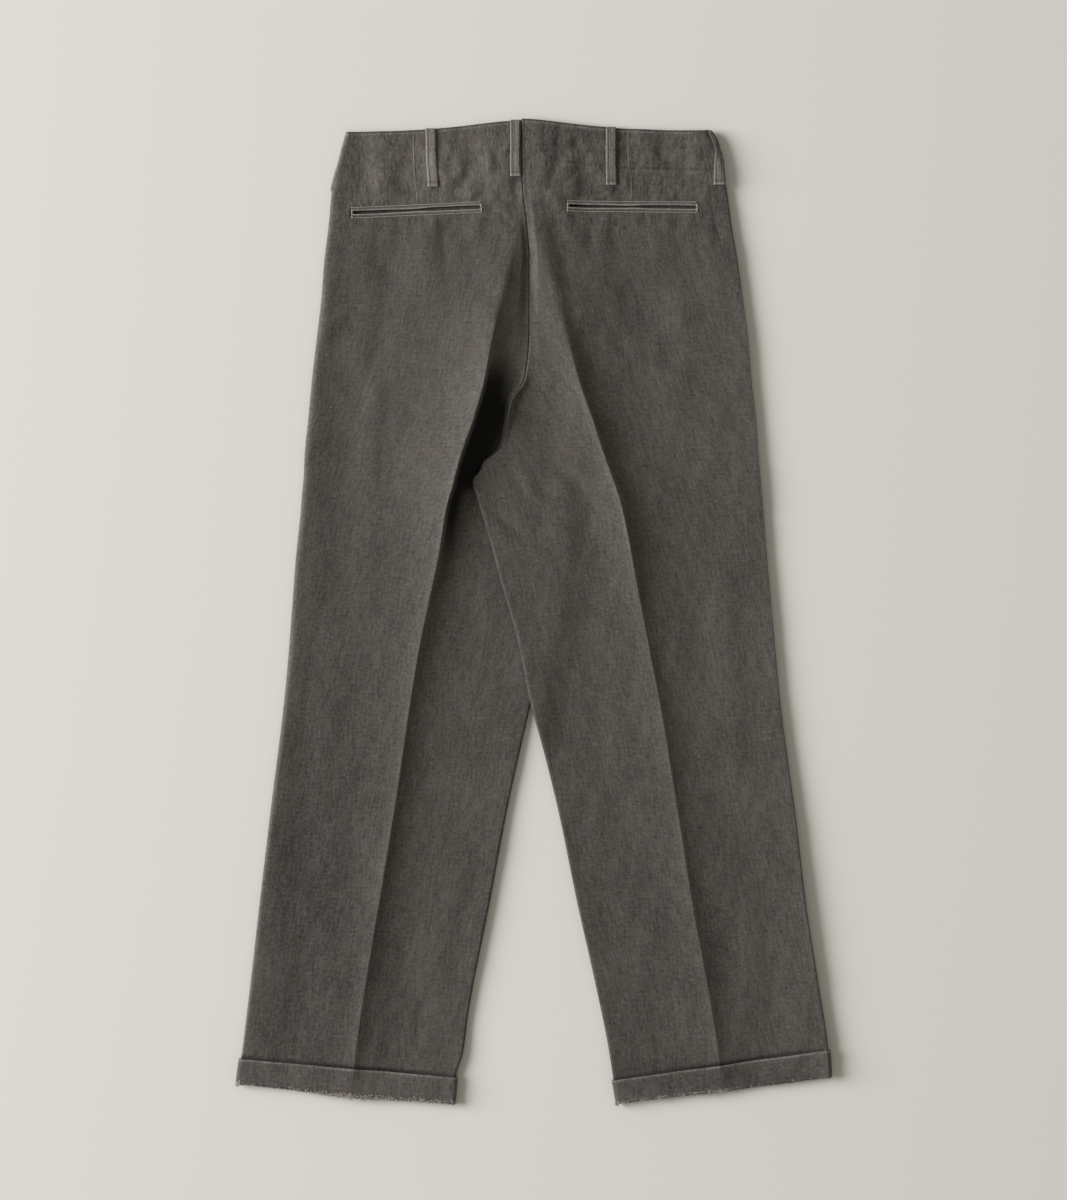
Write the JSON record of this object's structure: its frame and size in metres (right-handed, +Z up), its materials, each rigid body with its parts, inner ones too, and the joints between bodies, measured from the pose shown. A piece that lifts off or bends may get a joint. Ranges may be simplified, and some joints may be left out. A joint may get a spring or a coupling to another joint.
{
  "type": "field trousers",
  "caption": "Straight-leg trousers laid flat with the back side up, with turned-up cuffs, double-welt back pockets, belt loops and pressed creases.",
  "frame": {"origin": "on the surface the trousers lie on, under the middle of their outline", "axes": "+X towards the wearer's right side, +Y from the hems to the waist, +Z up from the surface, out of the back side"},
  "size_m": [0.6427, 1.0627, 0.0314],
  "materials": {
    "cloth": "matte slubby cotton, dark warm grey",
    "cuff_cloth": "matte slubby cotton, a little lighter, frayed along the edge",
    "loop_cloth": "matte cotton with worn, lighter edges"
  },
  "bodies": {
    "root": {"left_front": "cloth", "right_front": "cloth", "left_back": "cloth", "right_back": "cloth", "left_pocket_upper_welt": "cloth", "left_pocket_lower_welt": "cloth", "right_pocket_upper_welt": "cloth", "right_pocket_lower_welt": "cloth", "belt_loop_left": "loop_cloth", "belt_loop_centre": "loop_cloth", "belt_loop_right": "loop_cloth", "belt_loop_right_side": "loop_cloth", "left_cuff": "cuff_cloth", "right_cuff": "cuff_cloth"}
  },
  "joints": []
}
